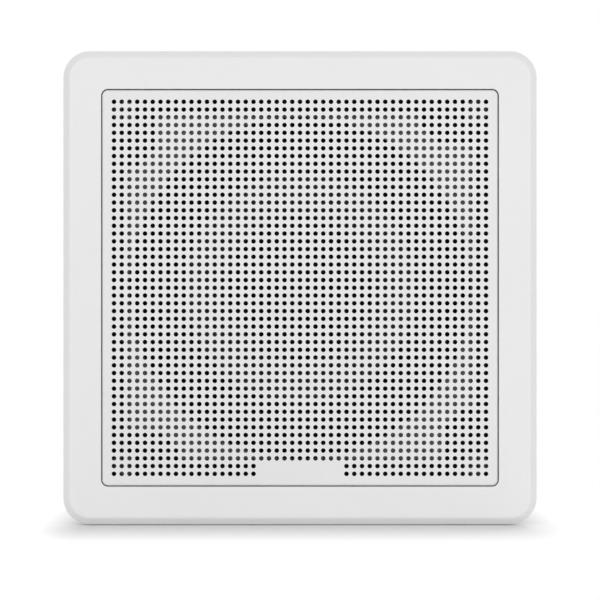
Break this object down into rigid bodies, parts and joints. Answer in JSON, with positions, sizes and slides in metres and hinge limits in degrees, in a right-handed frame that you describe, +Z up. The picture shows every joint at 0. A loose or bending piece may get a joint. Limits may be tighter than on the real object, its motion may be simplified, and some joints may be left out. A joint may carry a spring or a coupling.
{
  "type": "flush-mount loudspeaker",
  "caption": "Square white flush-mount loudspeaker: moulded frame, perforated steel grille, coaxial driver behind it, and swing-out clamps that grip the panel.",
  "frame": {"origin": "middle of the frame on the face of the wall, at the back of the wall gasket", "axes": "+X to the right and +Z up as seen from the room, +Y into the wall"},
  "size_m": [0.214, 0.0797, 0.214],
  "materials": {
    "white_asa": "fine moulded texture",
    "grey_abs": "fine moulded texture",
    "white_coated_steel": "matt powder coat",
    "black_abs": "moulded texture",
    "black_foam": "closed-cell foam",
    "black_coated_steel": "satin paint",
    "zinc_screw_steel": "zinc plated",
    "grey_polypropylene": "satin cone",
    "black_rubber": "moulded rubber",
    "spider_cloth": "resin-stiffened weave",
    "aluminium_former": "rolled foil",
    "copper_winding": "enamelled wire",
    "plated_steel": "zinc plated",
    "ferrite": "ground ferrite",
    "boot_rubber": "moulded rubber",
    "pod_plastic": "moulded texture",
    "dome_silk": "coated silk",
    "board_laminate": "phenolic sheet",
    "tinned_brass": "tin plated",
    "capacitor_sleeve": "shrink sleeve",
    "tinsel_braid": "copper braid",
    "clamp_screw_steel": "zinc-flake coat"
  },
  "bodies": {
    "housing": {"bezel": "white_asa", "baffle_trim": "grey_abs", "grille": "white_coated_steel", "chassis": "black_abs", "driver_ring": "black_abs", "wall_gasket": "black_foam", "driver_gasket": "black_foam", "basket": "black_coated_steel", "driver_screws": "zinc_screw_steel", "surround": "black_rubber", "spider": "spider_cloth", "top_plate": "plated_steel", "magnet_ring": "ferrite", "yoke": "plated_steel", "magnet_boot": "boot_rubber", "tweeter_post": "plated_steel", "tweeter_pod": "pod_plastic", "tweeter_motor": "plated_steel", "tweeter_dome": "dome_silk", "terminal_board": "board_laminate", "terminal_positive": "tinned_brass", "terminal_negative": "tinned_brass", "crossover_capacitor": "capacitor_sleeve", "lead_positive": "tinsel_braid", "lead_negative": "tinsel_braid"},
    "cone_assembly": {"cone": "grey_polypropylene", "voice_coil_former": "aluminium_former", "voice_coil": "copper_winding"},
    "clamp_screw_top_left": {"clamp_screw_top_left": "clamp_screw_steel"},
    "clamp_dog_top_left": {"clamp_dog_top_left": "black_abs"},
    "clamp_screw_top_right": {"clamp_screw_top_right": "clamp_screw_steel"},
    "clamp_dog_top_right": {"clamp_dog_top_right": "black_abs"},
    "clamp_screw_bottom_right": {"clamp_screw_bottom_right": "clamp_screw_steel"},
    "clamp_dog_bottom_right": {"clamp_dog_bottom_right": "black_abs"},
    "clamp_screw_bottom_left": {"clamp_screw_bottom_left": "clamp_screw_steel"},
    "clamp_dog_bottom_left": {"clamp_dog_bottom_left": "black_abs"}
  },
  "joints": [
    {"name": "cone_travel", "type": "slide", "parent": "housing", "child": "cone_assembly", "axis": [0, 1, 0], "range_m": [-0.004, 0.004], "stiffness_N_per_m": 1250, "deforming": ["surround", "spider", "lead_positive", "lead_negative"]},
    {"name": "clamp_swing_top_left", "type": "hinge", "parent": "housing", "child": "clamp_screw_top_left", "pos_m": [-0.08, 0.004, 0.08], "axis": [0, 1, 0], "range_deg": [0, 90]},
    {"name": "clamp_travel_top_left", "type": "slide", "parent": "clamp_screw_top_left", "child": "clamp_dog_top_left", "axis": [0, -1, 0], "range_m": [0, 0.022]},
    {"name": "clamp_swing_top_right", "type": "hinge", "parent": "housing", "child": "clamp_screw_top_right", "pos_m": [0.08, 0.004, 0.08], "axis": [0, 1, 0], "range_deg": [0, 90]},
    {"name": "clamp_travel_top_right", "type": "slide", "parent": "clamp_screw_top_right", "child": "clamp_dog_top_right", "axis": [0, -1, 0], "range_m": [0, 0.022]},
    {"name": "clamp_swing_bottom_right", "type": "hinge", "parent": "housing", "child": "clamp_screw_bottom_right", "pos_m": [0.08, 0.004, -0.08], "axis": [0, 1, 0], "range_deg": [0, 90]},
    {"name": "clamp_travel_bottom_right", "type": "slide", "parent": "clamp_screw_bottom_right", "child": "clamp_dog_bottom_right", "axis": [0, -1, 0], "range_m": [0, 0.022]},
    {"name": "clamp_swing_bottom_left", "type": "hinge", "parent": "housing", "child": "clamp_screw_bottom_left", "pos_m": [-0.08, 0.004, -0.08], "axis": [0, 1, 0], "range_deg": [0, 90]},
    {"name": "clamp_travel_bottom_left", "type": "slide", "parent": "clamp_screw_bottom_left", "child": "clamp_dog_bottom_left", "axis": [0, -1, 0], "range_m": [0, 0.022]}
  ]
}
